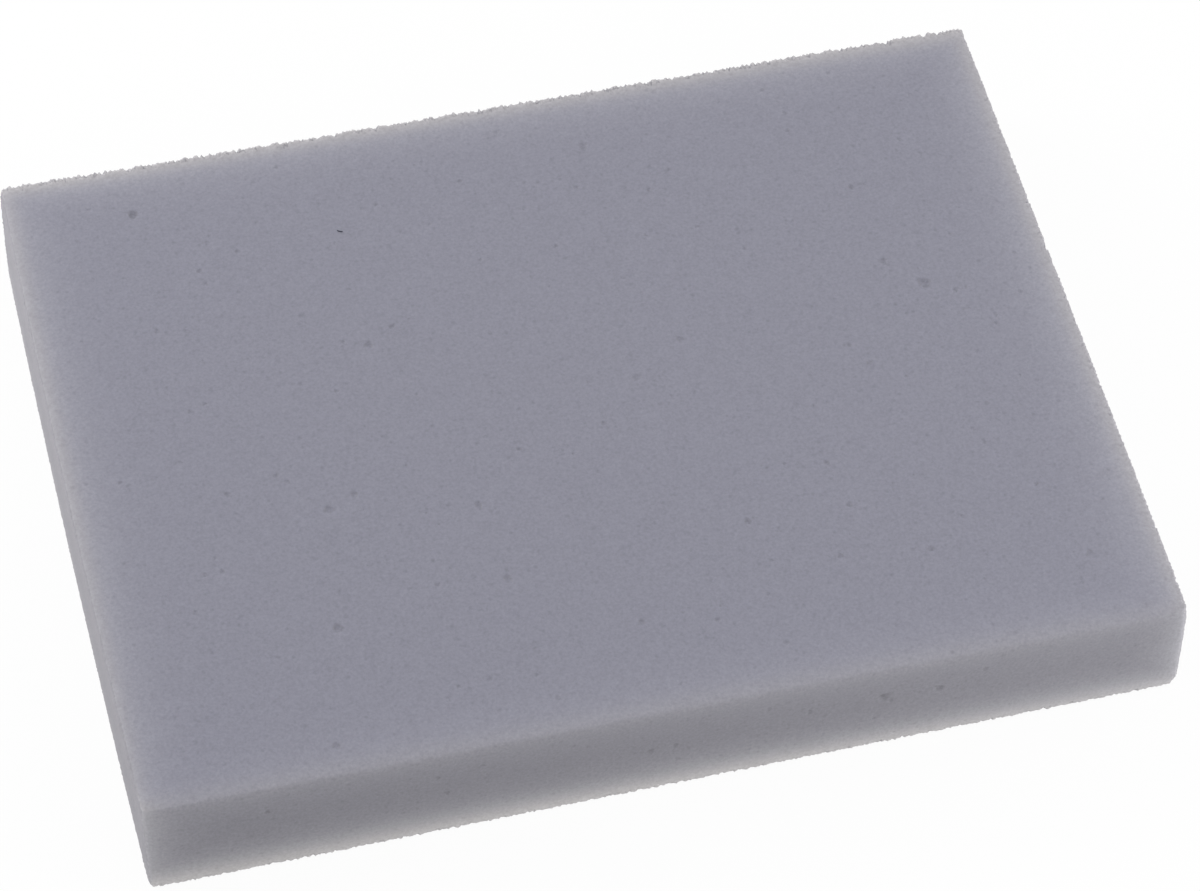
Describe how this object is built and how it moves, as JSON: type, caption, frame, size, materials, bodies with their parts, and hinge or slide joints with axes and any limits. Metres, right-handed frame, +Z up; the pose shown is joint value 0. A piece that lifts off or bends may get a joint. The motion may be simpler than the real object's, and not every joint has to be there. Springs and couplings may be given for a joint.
{
  "type": "foam filter pad",
  "caption": "Rectangular pad of fine open-cell foam that lies in a tray or housing and catches dust from the air drawn through it.",
  "frame": {"origin": "under the middle of the pad, on the surface that it lies on: the centre of the bottom of its box", "axes": "+X along the 120 mm length towards the straight right end, +Y across the 90 mm width towards the back, +Z up through the 15 mm thickness"},
  "size_m": [0.12, 0.09, 0.015],
  "materials": {
    "foam": "dry matt open-cell polyurethane foam, cool grey, paler along its cut rims"
  },
  "bodies": {
    "root": {"foam_pad": "foam"}
  },
  "joints": []
}
